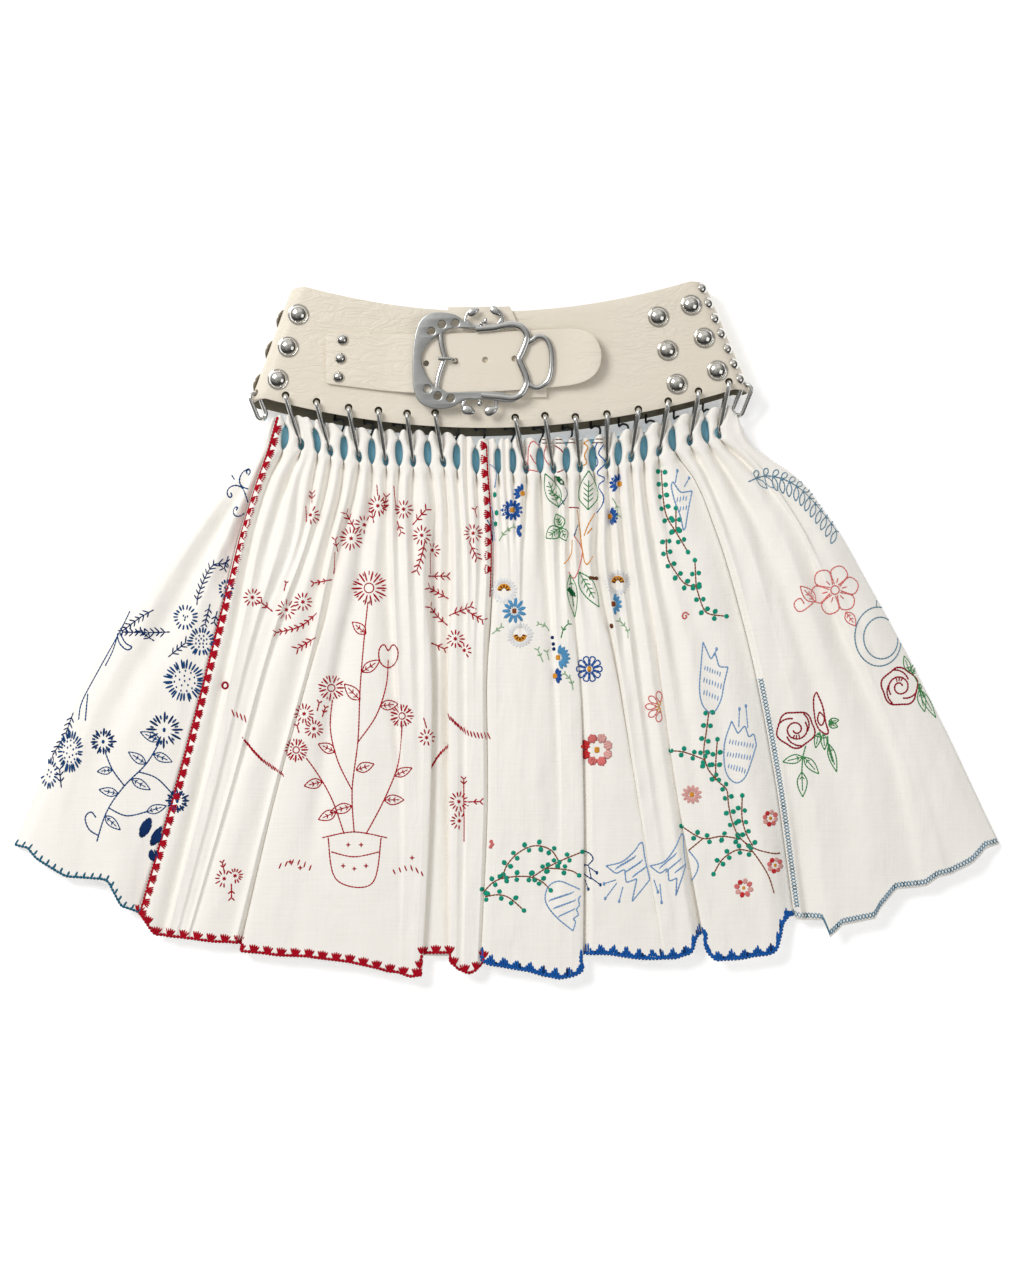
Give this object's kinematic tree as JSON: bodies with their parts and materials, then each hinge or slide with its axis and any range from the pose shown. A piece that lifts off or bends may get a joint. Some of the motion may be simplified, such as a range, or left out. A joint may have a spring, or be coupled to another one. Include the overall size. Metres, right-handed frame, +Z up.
{
  "type": "belted gathered skirt",
  "caption": "Gathered embroidered linen skirt, laid flat, hung by wire links from a curved studded leather belt with a cast buckle.",
  "frame": {"origin": "centre of the bounding box in X and Y, on the surface the skirt lies on", "axes": "+Z up from the surface, +Y towards the waist, +X towards the right of the front"},
  "size_m": [0.851, 0.5984, 0.0417],
  "materials": {
    "linen": "matte",
    "tape": "satin",
    "leather": "satin",
    "nickel": "polished"
  },
  "bodies": {
    "root": {"panel_left": "linen", "panel_red": "linen", "panel_blue": "linen", "panel_right": "linen", "skirt_back": "linen", "heading_tape": "tape", "belt": "leather", "buckle_tab": "leather", "strap": "leather", "buckle": "nickel", "buckle_prong": "nickel", "strap_rivet_1": "nickel", "stud_left_1": "nickel", "stud_inner_1": "nickel", "stud_outer_1": "nickel", "stud_edge_1": "nickel", "strap_rivet_2": "nickel", "stud_left_2": "nickel", "stud_inner_2": "nickel", "stud_outer_2": "nickel", "stud_edge_2": "nickel", "strap_rivet_3": "nickel", "stud_left_3": "nickel", "stud_inner_3": "nickel", "stud_outer_3": "nickel", "stud_edge_3": "nickel", "stud_small_1": "nickel", "stud_small_2": "nickel", "stud_small_3": "nickel", "stud_small_4": "nickel", "stud_small_5": "nickel", "stud_small_6": "nickel", "stud_small_7": "nickel", "link_1": "nickel", "link_2": "nickel", "link_3": "nickel", "link_4": "nickel", "link_5": "nickel", "link_6": "nickel", "link_7": "nickel", "link_8": "nickel", "link_9": "nickel", "link_10": "nickel", "link_11": "nickel", "link_12": "nickel", "link_13": "nickel", "link_14": "nickel", "link_left_side": "nickel", "link_right_side": "nickel"}
  },
  "joints": []
}
